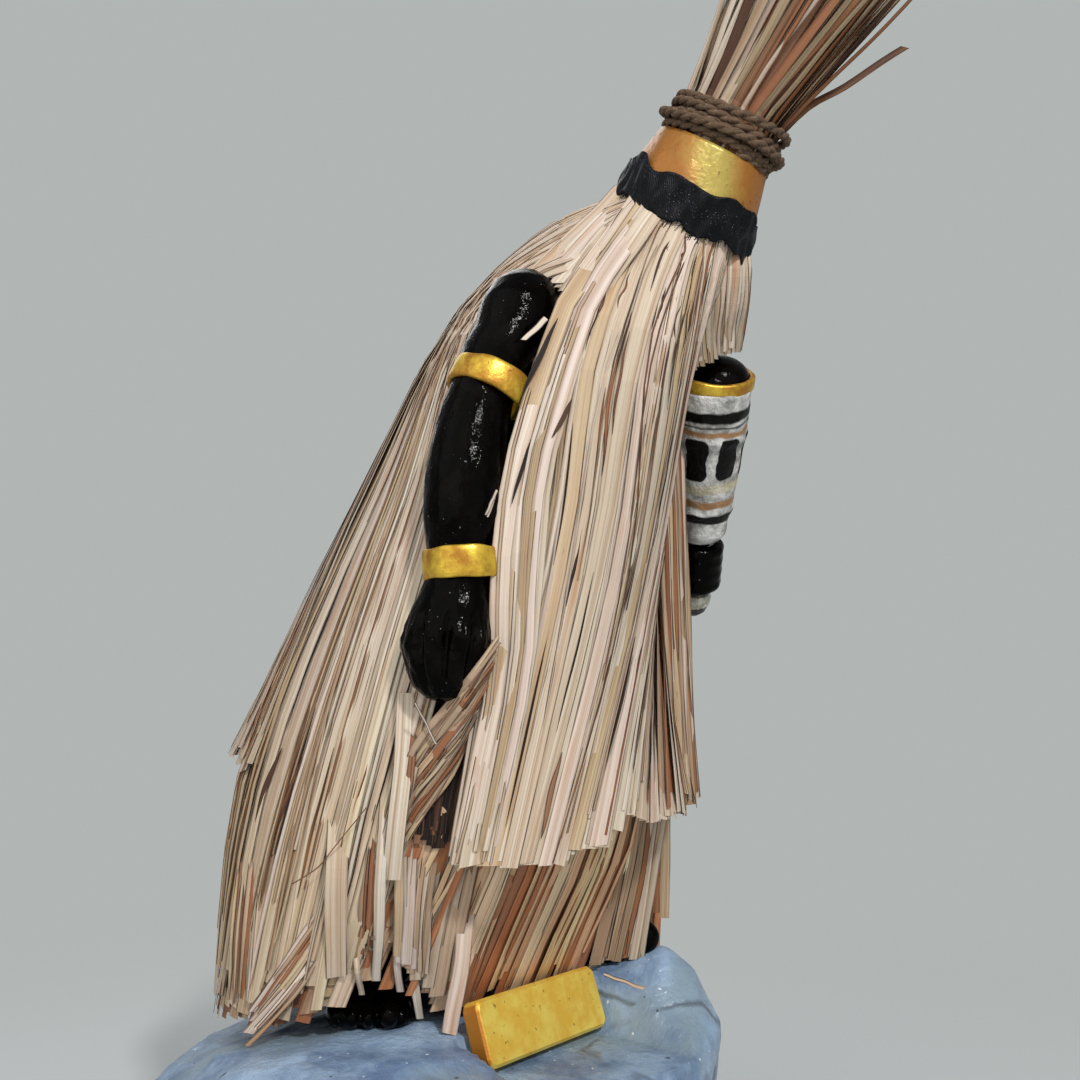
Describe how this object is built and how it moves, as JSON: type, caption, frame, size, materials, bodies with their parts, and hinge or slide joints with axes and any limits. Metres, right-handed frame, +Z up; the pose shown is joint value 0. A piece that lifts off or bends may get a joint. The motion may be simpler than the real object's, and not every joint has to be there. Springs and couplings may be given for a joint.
{
  "type": "plaster orisha statue",
  "caption": "Black plaster figure under a tied straw cape and skirt, one hand holding a banded scepter, standing on a painted rock base with a blank gold plaque.",
  "frame": {"origin": "middle of the flat underside of the rock base", "axes": "+Z up, the figure faces -Y and leans that way, its right arm is on -X"},
  "size_m": [0.1548, 0.2021, 0.307],
  "materials": {
    "rock_paint": "blue-grey gloss paint on cast plaster, mottled",
    "black_paint": "black gloss paint on cast plaster",
    "white_paint": "rough white paint on cast plaster with painted bands",
    "gold_paint": "gold metallic paint, worn",
    "straw": "dry natural straw strips",
    "twine": "twisted natural twine",
    "black_satin": "black satin ribbon",
    "steel_wire": "plain steel wire"
  },
  "bodies": {
    "root": {"rock_base": "rock_paint", "name_plaque": "gold_paint", "figure_body": "black_paint", "right_arm": "black_paint", "left_arm": "black_paint", "right_armlet": "gold_paint", "right_bracelet": "gold_paint", "left_armlet": "gold_paint", "left_bracelet": "gold_paint", "scepter_core": "black_paint", "scepter_barrel": "white_paint", "scepter_rim": "gold_paint", "scepter_pommel": "white_paint", "leg_pin_right": "steel_wire", "leg_pin_left": "steel_wire", "shoulder_pin_right": "steel_wire", "shoulder_pin_left": "steel_wire", "waist_cord": "twine", "skirt_straw": "straw", "cape_front_straw": "straw", "cape_back_straw": "straw", "tuft_straw": "straw", "gold_collar": "gold_paint", "black_ribbon": "black_satin", "twine_binding": "twine"}
  },
  "joints": []
}
